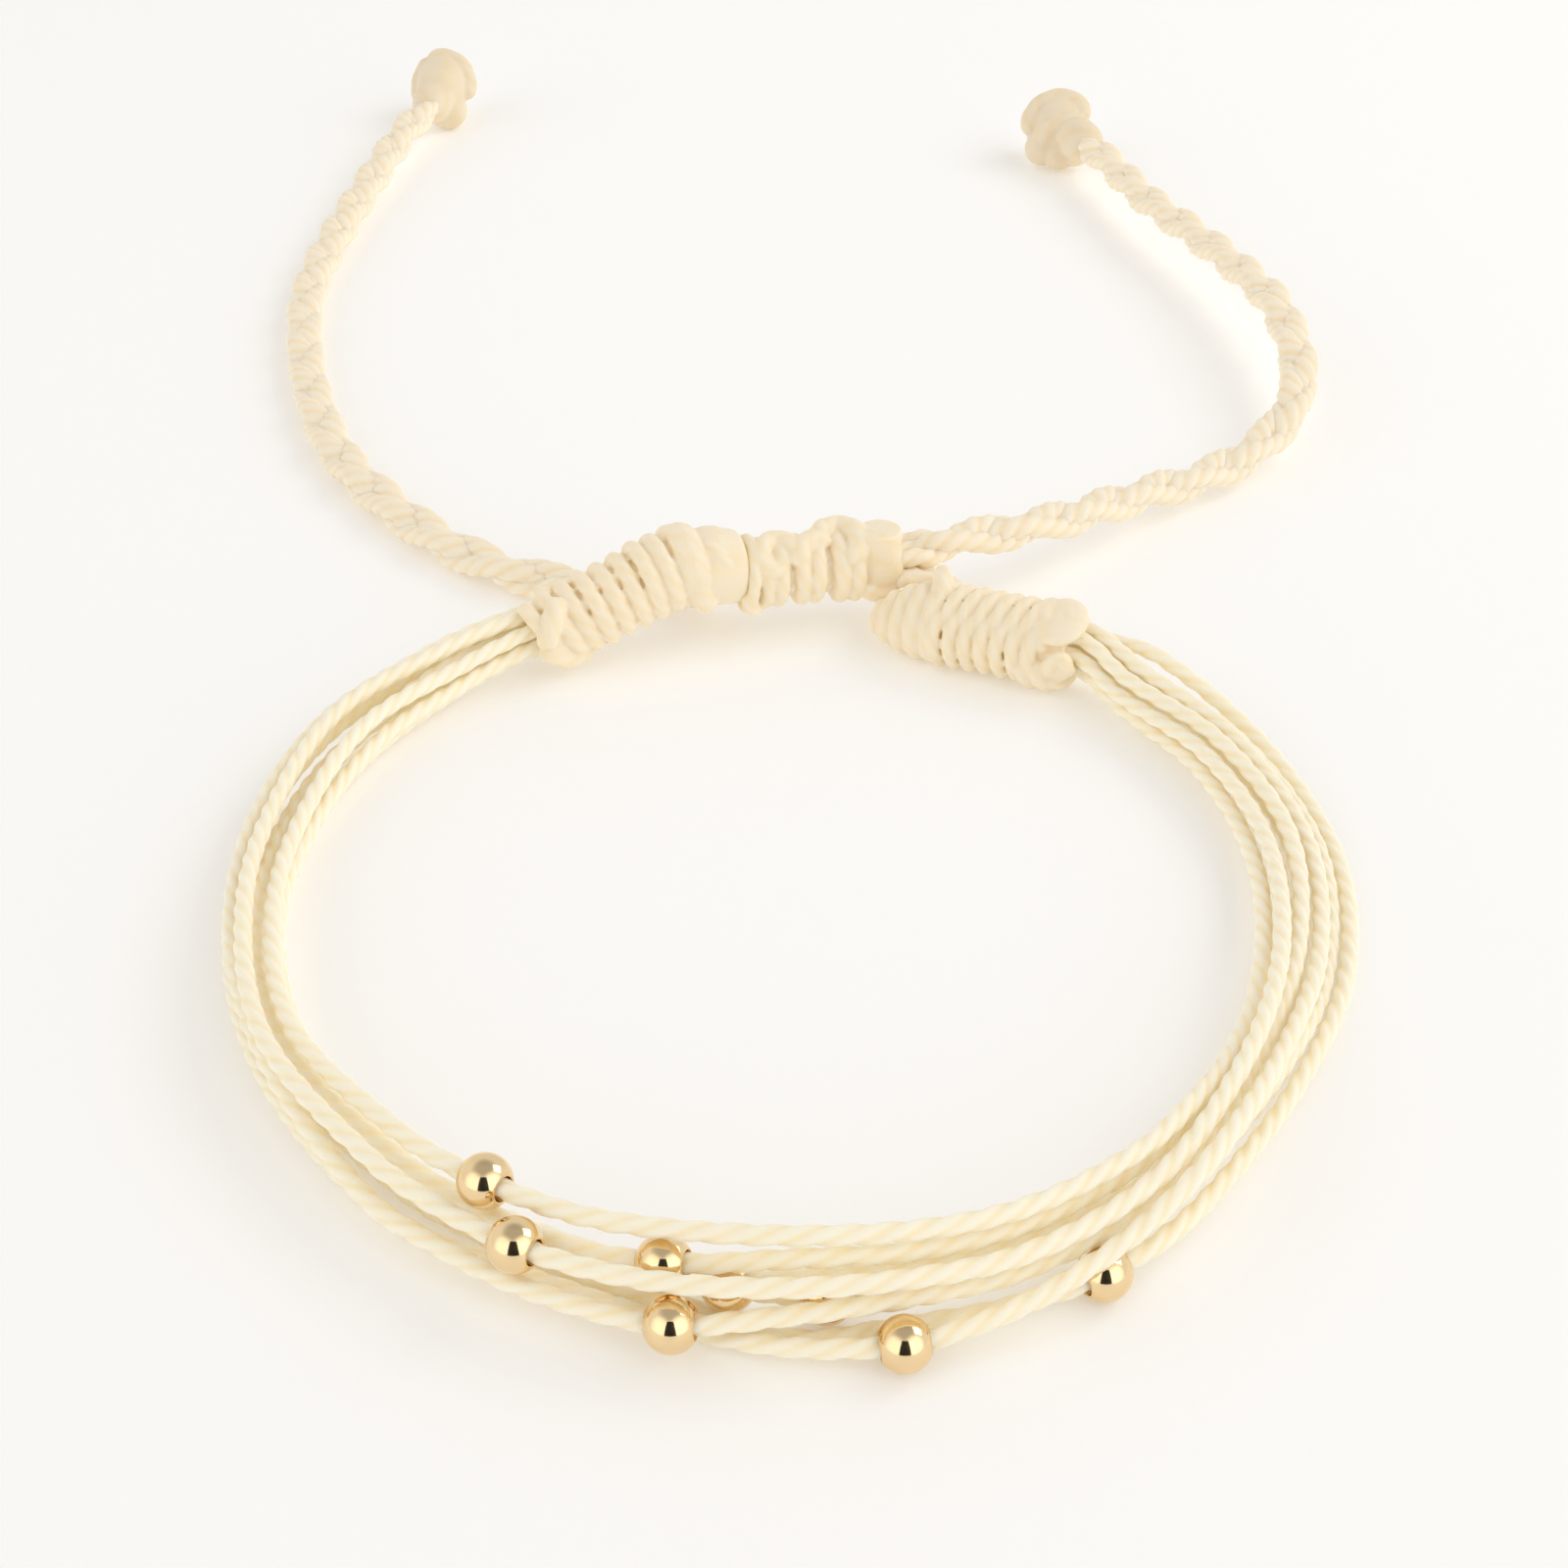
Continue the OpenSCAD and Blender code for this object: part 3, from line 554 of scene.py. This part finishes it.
def waxed_cord(name, group, ply, groove_shade, groove_shade_strength, wax_roughness, glow_through, painted_glow):
    """Cream polyester cord with a satin wax coat. glow_through is the share of light that passes
    under its skin; the last argument is a faint warm glow painted onto the cord, painted light that
    stands in for light shining through it."""
    material, tree, shader = new_material(name, ply)
    way = tree.nodes.new("ShaderNodeAttribute")
    way.attribute_name = "cord_way"
    effect = tree.nodes.new("ShaderNodeGroup")
    effect.node_tree = group
    tree.links.new(way.outputs["Vector"], effect.inputs["Cord Way"])
    effect.inputs["Ply Colour"].default_value = ply
    # Painted shade: the grooves between the plies are mixed towards this darker, warmer colour
    effect.inputs["Groove Shade And Warm Tone"].default_value = groove_shade
    effect.inputs["Groove Shade Strength"].default_value = groove_shade_strength
    effect.inputs["Wax Roughness"].default_value = wax_roughness
    bump = tree.nodes.new("ShaderNodeBump")
    bump.inputs["Strength"].default_value = 0.5
    bump.inputs["Distance"].default_value = FIBRE_RELIEF * MM
    tree.links.new(effect.outputs["Height"], bump.inputs["Height"])
    tree.links.new(effect.outputs["Colour"], shader.inputs["Base Color"])
    tree.links.new(effect.outputs["Roughness"], shader.inputs["Roughness"])
    tree.links.new(bump.outputs["Normal"], shader.inputs["Normal"])
    shader.inputs["Subsurface Weight"].default_value = glow_through
    shader.inputs["Subsurface Radius"].default_value = (1.0, 0.75, 0.45)
    shader.inputs["Subsurface Scale"].default_value = 0.8 * MM
    # Painted glow: the cord gives off a faint warm light of its own, in place of light shining
    # through it
    shader.inputs["Emission Color"].default_value = (1.0, 0.72, 0.34, 1)
    shader.inputs["Emission Strength"].default_value = painted_glow
    shader.inputs["Specular IOR Level"].default_value = 0.4
    return material


def polished_gold():
    """Plated bead: mirror bright, with the faint haze that handling leaves."""
    material, tree, shader = new_material("polished_gold", (0.85, 0.62, 0.33, 1))
    place = tree.nodes.new("ShaderNodeTexCoord")
    haze = noise(tree, place.outputs["Object"], 1400.0, 3.0)
    tint = mixed(tree, haze, (0.86, 0.65, 0.37, 1), (0.92, 0.71, 0.42, 1))
    tree.links.new(tint, shader.inputs["Base Color"])
    tree.links.new(math_node(tree, "MULTIPLY_ADD", haze, 0.08, 0.05), shader.inputs["Roughness"])
    shader.inputs["Metallic"].default_value = 1.0
    return material


CORD_EFFECT = wax_and_fibre_group()
# Each finish paints shade into the grooves between the plies with its second, warmer colour
STRAND_FINISH = waxed_cord(
    "waxed_strand", CORD_EFFECT, ply=(0.94, 0.895, 0.77, 1), groove_shade=(0.93, 0.80, 0.52, 1),
    groove_shade_strength=0.6, wax_roughness=0.36, glow_through=0.5, painted_glow=0.07)
TAIL_FINISH = waxed_cord(
    "waxed_tail_cord", CORD_EFFECT, ply=(0.925, 0.845, 0.705, 1), groove_shade=(0.915, 0.745, 0.47, 1),
    groove_shade_strength=0.6, wax_roughness=0.42, glow_through=0.4, painted_glow=0.05)
KNOT_FINISH = waxed_cord(
    "waxed_knot_cord", CORD_EFFECT, ply=(0.89, 0.81, 0.66, 1), groove_shade=(0.89, 0.73, 0.43, 1),
    groove_shade_strength=0.4, wax_roughness=0.40, glow_through=0.35, painted_glow=0.07)
# The end knots get a darker copy of the knot cord's colours: painted shade
SHADED_END_KNOT_FINISH = waxed_cord(
    "waxed_end_knot_shaded", CORD_EFFECT, ply=(0.80, 0.71, 0.56, 1), groove_shade=(0.80, 0.63, 0.36, 1),
    groove_shade_strength=0.4, wax_roughness=0.40, glow_through=0.35, painted_glow=0.06)
GOLD_FINISH = polished_gold()


# Camera, light and table

# Camera: its place, how far it is tipped up from straight down in degrees, its lens and its sensor
CAMERA_AT, CAMERA_TILT, CAMERA_LENS, CAMERA_SENSOR = (0.1, -122.9, 95.8), 56, 58.5, 36.0

# Light tent: its plain level, and its soft patches as direction, half-angle and strength
TENT_LEVEL = 0.91
TENT_PATCHES = [
    ((-0.7, -0.65, 0.45), 48, 0.55),
    ((0.62, -0.62, 0.5), 48, 0.8),
    ((0.1, 0.9, 0.45), 60, -0.1),
    ((0.0, 0.1, 1.0), 55, -0.4)]

# Its front opening: half width, top and sill, as slopes from the bracelet, and how dark it is
OPENING_HALF, OPENING_TOP, OPENING_SILL, OPENING_DARK = 0.40, 1.6, 0.02, 0.97

# The lamp beyond its right wall, which shines at the bracelet: place and side in metres, and watts
LAMP_AT, LAMP_SIDE, LAMP_POWER = (0.42, 0.16, 0.42), 0.30, 0.55

# The table: half its side in metres, and how far it lies below the bracelet in millimetres
TABLE_HALF, TABLE_GAP = 3.0, 0.02


def set_camera():
    """Looks down on the bracelet from the bead side."""
    data = bpy.data.cameras.new("camera")
    data.lens, data.sensor_width = CAMERA_LENS, CAMERA_SENSOR
    data.clip_start, data.clip_end = 0.005, 20.0
    camera = bpy.data.objects.new("camera", data)
    camera.location = [c * MM for c in CAMERA_AT]
    camera.rotation_euler = (math.radians(CAMERA_TILT), 0, 0)
    bpy.context.scene.collection.objects.link(camera)
    bpy.context.scene.camera = camera


def glow(tree, way, toward, width, strength):
    """A soft round patch of light in one direction of the tent, or of shade where its strength is
    below 0. width is its half-angle in degrees."""
    dot = tree.nodes.new("ShaderNodeVectorMath")
    dot.operation = "DOT_PRODUCT"
    tree.links.new(way, dot.inputs[0])
    dot.inputs[1].default_value = unit(toward).tolist()
    ramp = tree.nodes.new("ShaderNodeMapRange")
    ramp.interpolation_type = "SMOOTHERSTEP"
    tree.links.new(dot.outputs["Value"], ramp.inputs["Value"])
    ramp.inputs["From Min"].default_value = math.cos(math.radians(width))
    ramp.inputs["From Max"].default_value = 1.0
    ramp.inputs["To Max"].default_value = strength
    return ramp.outputs["Result"]


def set_light():
    """A white light tent: soft patches left and right of its front opening, darker overhead, and
    one large lamp beyond its right wall."""
    scene = bpy.context.scene
    scene.view_settings.view_transform = "Standard"
    world = bpy.data.worlds.new("light_tent")
    scene.world = world
    world.use_nodes = True
    tree = world.node_tree
    way = tree.nodes.new("ShaderNodeTexCoord").outputs["Generated"]
    parts = tree.nodes.new("ShaderNodeSeparateXYZ")
    tree.links.new(way, parts.inputs[0])
    x, y, z = parts.outputs
    ahead = math_node(tree, "MAXIMUM", math_node(tree, "MULTIPLY", y, -1.0), 0.001)
    aside = math_node(tree, "DIVIDE", math_node(tree, "ABSOLUTE", x), ahead)
    rise = math_node(tree, "DIVIDE", z, ahead)
    opening = math_node(tree, "MULTIPLY", math_node(tree, "LESS_THAN", aside, OPENING_HALF),
                        math_node(tree, "LESS_THAN", rise, OPENING_TOP))
    above_sill = math_node(tree, "GREATER_THAN", rise, OPENING_SILL)
    opening = math_node(tree, "MULTIPLY", opening, above_sill)
    level = glow(tree, way, *TENT_PATCHES[0])
    for patch in TENT_PATCHES[1:]:
        level = math_node(tree, "ADD", level, glow(tree, way, *patch))
    level = math_node(tree, "ADD", level, TENT_LEVEL)
    shut = math_node(tree, "SUBTRACT", 1.0, math_node(tree, "MULTIPLY", opening, OPENING_DARK))
    level = math_node(tree, "MULTIPLY", level, shut)
    background = tree.nodes["Background"]
    background.inputs["Color"].default_value = (1.0, 0.985, 0.965, 1)
    tree.links.new(level, background.inputs["Strength"])
    data = bpy.data.lights.new("softbox", "AREA")
    data.shape, data.size, data.size_y = "RECTANGLE", LAMP_SIDE, LAMP_SIDE
    data.energy = LAMP_POWER
    data.color = (1.0, 0.985, 0.96)
    lamp = bpy.data.objects.new("softbox", data)
    lamp.location = LAMP_AT
    lamp.rotation_euler = Vector(LAMP_AT).to_track_quat("Z", "Y").to_euler()
    scene.collection.objects.link(lamp)


def set_table():
    """Plain white table."""
    bm = bmesh.new()
    bmesh.ops.create_grid(bm, x_segments=1, y_segments=1, size=TABLE_HALF)
    mesh = bpy.data.meshes.new("table")
    bm.to_mesh(mesh)
    bm.free()
    material, _, shader = new_material("white_table", (0.94, 0.93, 0.92, 1))
    shader.inputs["Base Color"].default_value = (0.806, 0.819, 0.838, 1)
    shader.inputs["Roughness"].default_value = 0.6
    shader.inputs["Specular IOR Level"].default_value = 0.2
    shader.inputs["Emission Color"].default_value = (1.0, 0.92, 0.80, 1)
    shader.inputs["Emission Strength"].default_value = 0.225
    mesh.materials.append(material)
    table = bpy.data.objects.new("table", mesh)
    table.location = (0, 0, -TABLE_GAP * MM)
    bpy.context.scene.collection.objects.link(table)


# Strands and beads

def make_strand(k):
    """One of the eight cords that go round the wrist."""
    bm = new_cords()
    add_cord(bm, strand_route(k, STRAND_STEP), STRAND_R, sides=STRAND_SIDES, start=STRAND_TURN * k)
    finished(bm, f"waxed_strand_{k + 1}", STRAND_FINISH, "strand_cord", f"strand_{k + 1}")


def make_bead(k):
    """A round bead, spun about its bore, with small rounded lips."""
    here, ahead = strand_point(k, BEAD_AT[k]), strand_point(k, BEAD_AT[k] + 0.05)
    lip_r = BEAD_BORE_R + BEAD_LIP
    edge = math.asin(lip_r / BEAD_R)
    outer = [(BEAD_R * math.sin(a), BEAD_R * math.cos(a))
             for a in np.linspace(edge, math.pi - edge, BEAD_RINGS)]
    lip_h = BEAD_LIP * 0.7
    lip_z = outer[0][1] - lip_h
    lip = [(lip_r - BEAD_LIP * math.sin(a), lip_z + lip_h * math.cos(a))
           for a in (0.5, 1.0, 1.5708)]
    profile = [*reversed(lip), *outer, *[(r, -z) for r, z in lip]]
    bm = bmesh.new()
    line = [bm.verts.new((r * MM, 0, z * MM)) for r, z in profile]
    line_edges = [bm.edges.new(pair) for pair in zip(line, line[1:] + line[:1])]
    bmesh.ops.spin(bm, geom=line + line_edges, axis=(0, 0, 1), cent=(0, 0, 0), angle=2 * math.pi,
                   steps=BEAD_SIDES, use_merge=True)
    turn = Vector(ahead - here).to_track_quat("Z", "Y").to_matrix().to_4x4()
    bmesh.ops.transform(bm, matrix=Matrix.Translation(Vector(here) * MM) @ turn, verts=bm.verts)
    finished(bm, f"gold_bead_{k + 1}", GOLD_FINISH, "gold_bead", f"bead_{k + 1}")


# Wraps

LEFT = Local(LEFT_MOUTH, LEFT_FAR - LEFT_MOUTH, LEFT_ARCH)
RIGHT = Local(RIGHT_MOUTH, RIGHT_FAR - RIGHT_MOUTH, RIGHT_ARCH)
SLIDER = Local(SLIDER_AT, SLIDER_DIR)


def short_cord(bm, place, points, radius, groove=0.25, start=0.0):
    """A short bent cord with round ends through a few places (a, phi, rho) on a knot."""
    a, phi, rho = np.array(points, float).T
    route = through(place.at(a, phi, rho), SHORT_STEP)
    add_cord(bm, route, rounded_ends(route, radius), sides=SHORT_SIDES, lay=WRAP_LAY,
             groove=groove, start=start)


def ring_cord(bm, place, a, rho, radius, lean=0.0, groove=0.22):
    """One closed turn round a knot. lean moves its bottom along the axis."""
    phi = np.linspace(-180, 180, 73)
    route = place.at(a - lean * np.cos(np.radians(phi)), phi, rho)
    add_cord(bm, route, radius, sides=SHORT_SIDES, lay=WRAP_LAY, groove=groove,
             normals=place.outward(phi))


def knot_lump(bm, place, a, phi, rho, sizes):
    """A pressed lump on a knot: sizes are along its axis, round it and out from it."""
    axes = place.axis, place.outward(phi + 90), place.outward(phi)
    add_lump(bm, place.at(a, phi, rho), axes, sizes)


def core(bm, place, profile):
    """A full middle: profile is (a, radius) along the axis of a knot."""
    a, radius = np.array(profile, float).T
    at = np.linspace(a[0], a[-1], 40)
    route = place.at(at, 0 * at, 0 * at)
    add_cord(bm, route, np.interp(at, a, radius), sides=32, groove=0.0, lay=60)


def make_left_wrap():
    """Turns that slant at the mouth and straighten, a broad last turn, and the melted cap."""
    bm = new_cords()
    turns, pitch, cord_r, first, slant, slant_fade = 8, 1.29, 0.63, 0.62, 1.0, 3.5
    phi = np.linspace(0, 360 * turns, 60 * turns + 1)
    a = first + pitch * phi / 360
    a = a - slant * np.exp(-(a - first) / slant_fade) * np.cos(np.radians(phi))
    rho = (2.26 + 0.028 * a + 0.06 * np.sin(np.radians(phi * 0.37))
           + 0.04 * np.sin(np.radians(phi * 1.7)))
    route = LEFT.at(a, phi, rho)
    add_cord(bm, route, rounded_ends(route, cord_r), sides=18, lay=4.2, groove=0.28,
             normals=LEFT.outward(phi))
    # The broad last turn
    for at, rho in ((11.25, 2.35), (11.7, 2.4), (12.05, 2.3)):
        ring_cord(bm, LEFT, at, rho, 0.72, groove=0.12)
    short_cord(bm, LEFT, [(11.4, 96, 2.3), (11.8, 118, 2.75), (12.1, 138, 3.0), (12.1, 160, 2.4)],
               0.85, groove=0.1)
    # The full middle, which ends in the melted cap
    core(bm, LEFT, [(0.1, 1.95), (12.0, 2.1), (12.3, 2.7), (13.0, 2.85), (14.0, 2.8), (14.9, 2.75),
                    (15.5, 2.6), (15.8, 2.2)])
    knot_lump(bm, LEFT, 14.0, -12, 2.3, (1.0, 1.2, 0.75))
    short_cord(bm, LEFT, [(13.0, 18, 2.4), (13.5, 32, 2.75), (14.0, 50, 2.7), (14.3, 68, 2.3)], 0.5)
    # The cord at the mouth, down over the front and on underneath
    short_cord(bm, LEFT, [(2.1, 18, 2.3), (1.6, 38, 2.75), (1.0, 58, 2.9), (0.5, 76, 2.7),
                          (0.2, 92, 2.1)], 0.8)
    short_cord(bm, LEFT, [(0.1, 90, 2.1), (0.6, 108, 2.45), (1.6, 130, 2.6), (2.9, 148, 2.5),
                          (3.5, 170, 2.0)], 0.85)
    pressed_together(bm)
    finished(bm, "left_wrap_coils", KNOT_FINISH, "knot_cord", "left_wrap")


def make_right_wrap():
    """Two rows of turns that meet along the front, soft turns to the tip, and a melted mouth."""
    bm = new_cords()
    turns, pitch, cord_r = 7, 1.2, 0.54
    # Over the top, from the back down to the front
    for i in range(turns):
        at = 2.75 + pitch * i
        points = [(at - 0.55, -100, 2.1), (at - 0.5, -60, 2.45), (at - 0.45, -20, 2.6),
                  (at - 0.15, 15, 2.72), (at + 0.2, 45, 2.62), (at + 0.55, 72, 2.15)]
        short_cord(bm, RIGHT, points, cord_r, start=0.3 * i)
    # From the front round the underside
    for i in range(turns):
        at = 2.5 + pitch * i
        points = [(at - 0.45, 34, 2.05), (at - 0.2, 56, 2.66), (at, 85, 2.76), (at, 115, 2.7),
                  (at + 0.1, 150, 2.6), (at + 0.4, 190, 2.4), (at + 0.6, 230, 2.3),
                  (at + 0.6, 270, 2.2)]
        short_cord(bm, RIGHT, points, cord_r, start=0.21 * i)
    # The soft turns and the full middle
    for at, rho, radius in ((10.3, 2.3, 0.72), (11.5, 2.2, 0.74), (12.7, 1.85, 0.74),
                            (13.9, 1.35, 0.72), (14.8, 0.75, 0.66)):
        ring_cord(bm, RIGHT, at, rho, radius, lean=0.12, groove=0.15)
    core(bm, RIGHT, [(0.1, 2.3), (2.0, 2.4), (3.0, 2.0), (10.2, 2.0), (12.6, 1.8), (13.8, 1.4),
                     (14.8, 0.9), (15.3, 0.4)])
    # A turn that stands up over the top, near the tip
    short_cord(bm, RIGHT, [(9.6, 20, 2.5), (10.1, -4, 3.0), (10.6, -26, 3.4), (11.1, -50, 2.6)],
               0.78)
    # Three cords near the mouth, down the front and underneath
    short_cord(bm, RIGHT, [(3.2, 96, 2.4), (2.9, 122, 2.75), (2.6, 150, 2.7), (2.3, 180, 2.3)],
               0.72)
    short_cord(bm, RIGHT, [(2.2, 92, 2.2), (1.8, 118, 2.75), (1.5, 148, 2.75), (1.3, 180, 2.3)],
               0.74)
    short_cord(bm, RIGHT, [(1.1, 118, 2.2), (0.8, 138, 2.55), (0.6, 165, 2.5), (0.5, 200, 2.3),
                           (0.4, 260, 2.2)], 0.7)
    # Two more, up the back and over the top
    short_cord(bm, RIGHT, [(2.0, 250, 2.0), (2.1, 300, 2.3), (2.0, 340, 2.4), (1.9, 380, 2.4),
                           (1.8, 415, 2.35), (1.9, 440, 2.1)], 0.85)
    short_cord(bm, RIGHT, [(0.3, 250, 2.0), (0.7, 290, 2.2), (0.9, 330, 2.3), (0.5, 360, 2.3),
                           (0.0, 400, 2.2)], 0.95)
    # The melted mouth
    knot_lump(bm, RIGHT, 0.75, 16, 2.3, (1.9, 2.3, 0.75))
    knot_lump(bm, RIGHT, 0.45, 102, 2.2, (1.1, 1.2, 0.75))
    short_cord(bm, RIGHT, [(1.5, 136, 2.1), (1.15, 106, 2.6), (0.6, 86, 2.8), (0.0, 80, 2.7),
                           (-0.3, 96, 2.5), (-0.2, 118, 2.1)], 0.6)
    pressed_together(bm, grain=0.11, rounds=3)
    finished(bm, "right_wrap_coils", KNOT_FINISH, "knot_cord", "right_wrap")


def make_slider():
    """Square knots in a row: bars across the front, looped lumps over the top, a full right end."""
    bm = new_cords()
    ring_cord(bm, SLIDER, 0.1, 2.5, 0.48, lean=-0.2)
    # Bars: how far along, how far out, radius and lean
    bars = [(1.25, 2.1, 0.55, 0.05), (2.3, 2.1, 0.58, -0.05), (3.9, 2.1, 0.58, 0.05),
            (5.05, 2.1, 0.58, -0.05), (6.8, 2.15, 0.62, 0.05), (7.95, 2.15, 0.62, 0.0)]
    for at, rho, radius, lean in bars:
        ring_cord(bm, SLIDER, at, rho, radius, lean=lean)
    # Looped lumps over the top
    short_cord(bm, SLIDER, [(2.6, 62, 2.1), (1.3, 56, 2.3), (0.8, 36, 2.35), (1.1, 12, 2.45),
                            (2.1, -6, 2.5), (3.1, 10, 2.45), (3.3, 36, 2.3)], 0.74)
    short_cord(bm, SLIDER, [(3.6, 58, 2.1), (3.7, 34, 2.4), (4.3, 14, 2.55), (5.2, 6, 2.55),
                            (5.7, 26, 2.3)], 0.8)
    short_cord(bm, SLIDER, [(5.2, 18, 2.2), (5.4, -2, 2.6), (6.1, -20, 2.8), (7.2, -26, 2.85),
                            (8.0, -8, 2.75), (8.2, 18, 2.6), (7.9, 42, 2.5), (7.2, 58, 2.1)], 0.84)
    # A lobe low on the front, at the left face
    short_cord(bm, SLIDER, [(-0.4, 100, 2.2), (-0.1, 122, 2.6), (0.4, 142, 2.6), (0.9, 165, 2.2)],
               0.6)
    core(bm, SLIDER, [(-0.6, 1.9), (2.5, 1.9), (2.85, 1.85), (3.3, 1.85), (3.6, 1.9), (5.5, 1.9),
                      (5.75, 1.85), (6.1, 1.85), (6.4, 1.9), (8.4, 1.9), (8.8, 1.9), (9.1, 2.4),
                      (10.8, 2.4), (11.2, 2.1), (11.5, 1.6)])
    # The full right end: an upright stub of cord, and a lobe low on its front
    end = SLIDER.at(9.8, 0, 0) + 0.7 * SLIDER.front
    end_line = through([end - 1.6 * SLIDER.up, end + 3.1 * SLIDER.up], 0.1)
    add_cord(bm, end_line, 1.6, sides=40, groove=0.0)
    short_cord(bm, SLIDER, [(8.3, 112, 2.2), (9.2, 126, 2.5), (10.2, 130, 2.5), (11.0, 118, 2.1)],
               0.7)
    pressed_together(bm, grain=0.12, rounds=4)
    finished(bm, "sliding_knot", KNOT_FINISH, "knot_cord", "slider")


# Tails

def make_tail_cord(side, points, first_in, k):
    """One of the three cords of a braided tail."""
    bm = new_cords()
    line, side_way, radius, wide = braid_route(points, first_in, k, TAIL_STEP)
    add_cord(bm, line, radius, sides=TAIL_SIDES, lay=TAIL_LAY, groove=TAIL_GROOVE,
             start=TAIL_TURN * k, normals=side_way, flat=wide)
    node = f"{side}_tail_cord_{k + 1}"
    finished(bm, f"braided_{node}", TAIL_FINISH, "tail_cord", node)


def make_end_knot(side, points, middle, size, turns, lobes):
    """The braid tied in a plain knot, then cut and melted. Turns and lobes lie round its middle."""
    bm = new_cords()
    axes = np.eye(3)
    add_lump(bm, middle, axes, size)
    for turn, radius in turns:
        route = through(middle + np.array(turn), END_KNOT_STEP)
        add_cord(bm, route, rounded_ends(route, radius), sides=20, lay=6.0, groove=0.15)
    for lobe, radius in lobes:
        add_lump(bm, middle + np.array(lobe), axes, (radius, radius, radius))
    # The neck, where the braid swells into the knot
    way = unit(points[-1] - points[-2])
    collar_at = np.array([[-5.2], [-3.4], [-1.4], [0.4]])
    collar = through(points[-1] + collar_at * way, END_KNOT_STEP)
    collar_r = np.interp(running(collar), [0, 2.4, 5.6], [1.75, 2.15, 2.4])
    add_cord(bm, collar, rounded_ends(collar, collar_r), sides=32, lay=9.0, groove=0.12)
    pressed_together(bm, grain=0.16, rounds=5)
    # The end knots take the darker copy of the knot cord, which is painted shade
    finished(bm, f"{side}_tail_knot", SHADED_END_KNOT_FINISH, "knot_cord", f"{side}_end_knot")


# The bracelet, piece by piece

set_camera()
set_light()
set_table()
for number in range(len(OUT)):
    make_strand(number)
    make_bead(number)
make_left_wrap()
make_right_wrap()
make_slider()
for number in range(BRAID_CORDS):
    make_tail_cord("right", RIGHT_TAIL, RIGHT_TAIL_IN, number)
    make_tail_cord("left", LEFT_TAIL, LEFT_TAIL_IN, number)
make_end_knot("left", LEFT_TAIL, LEFT_KNOT_AT, LEFT_KNOT_SIZE, LEFT_KNOT_TURNS, LEFT_KNOT_LOBES)
make_end_knot("right", RIGHT_TAIL, RIGHT_KNOT_AT, RIGHT_KNOT_SIZE, RIGHT_KNOT_TURNS,
              RIGHT_KNOT_LOBES)
